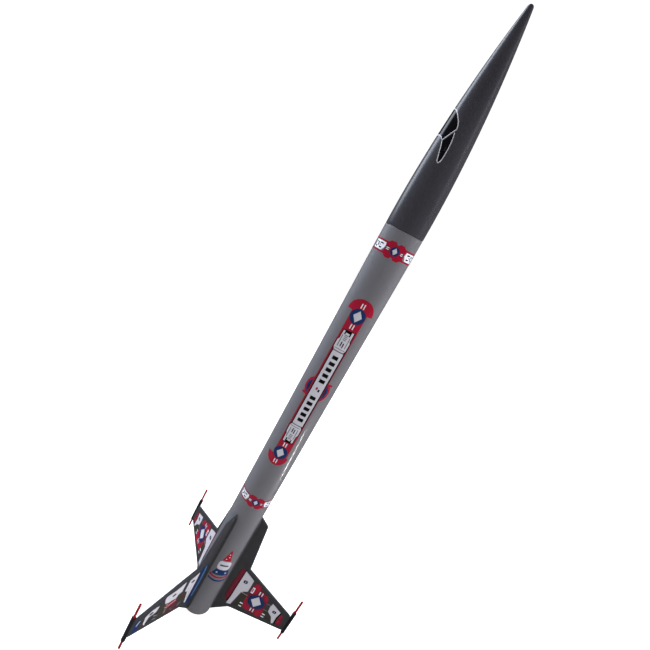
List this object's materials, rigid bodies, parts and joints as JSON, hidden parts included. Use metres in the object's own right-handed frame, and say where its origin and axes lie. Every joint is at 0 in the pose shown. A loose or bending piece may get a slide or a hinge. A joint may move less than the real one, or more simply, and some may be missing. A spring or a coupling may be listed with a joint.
{
  "type": "model rocket",
  "caption": "Slender flying model rocket with a long ogive nose, a straight paper airframe tube and swept tail fins that carry a rod in a sleeve on each tip.",
  "frame": {"origin": "on the airframe tube's axis, in the plane of its tail end, which the rocket stands on", "axes": "+Z along the tube's axis towards the nose, +X through the first fin, and +Y completes a right-handed set"},
  "size_m": [0.1567, 0.1804, 0.6267],
  "materials": {
    "tube_paint": "gloss grey paint on spiral wound paper tube",
    "nose_plastic": "glossy charcoal moulded plastic",
    "fin_paint": "satin charcoal paint on balsa",
    "rod_paint": "red painted dowel",
    "sleeve_paper": "semi-gloss black paper tubing",
    "raw_cardboard": "raw kraft cardboard",
    "raw_paper": "raw paper",
    "spring_steel": "cold rolled spring steel",
    "tissue": "crumpled flameproof tissue",
    "decal_film": "printed self-adhesive film",
    "canopy_nylon": "thin orange nylon cloth"
  },
  "bodies": {
    "airframe": {"body_tube": "tube_paint", "motor_tube": "raw_cardboard", "thrust_ring": "raw_cardboard", "centring_ring_aft": "raw_cardboard", "centring_ring_forward": "raw_cardboard", "motor_hook": "spring_steel", "hook_retainer": "raw_paper", "fin_1": "fin_paint", "tip_sleeve_1": "sleeve_paper", "tip_rod_1": "rod_paint", "fin_2": "fin_paint", "tip_sleeve_2": "sleeve_paper", "tip_rod_2": "rod_paint", "fin_3": "fin_paint", "tip_sleeve_3": "sleeve_paper", "tip_rod_3": "rod_paint", "launch_lug_lower": "tube_paint", "launch_lug_upper": "tube_paint", "shock_cord_anchor": "raw_paper", "recovery_wadding": "tissue", "parachute_roll": "canopy_nylon"},
    "nose": {"nose_cone": "nose_plastic", "nose_plug": "nose_plastic"},
    "hook_tail": {"motor_hook_tail": "spring_steel"}
  },
  "joints": [
    {"name": "nose_pull", "type": "slide", "parent": "airframe", "child": "nose", "axis": [0, 0, 1], "range_m": [0, 0.045]},
    {"name": "hook_flex", "type": "hinge", "parent": "airframe", "child": "hook_tail", "pos_m": [-0.00995, 0, 0.0435], "axis": [0, 1, 0], "range_deg": [0, 4], "stiffness_Nm_per_rad": 0.8}
  ]
}
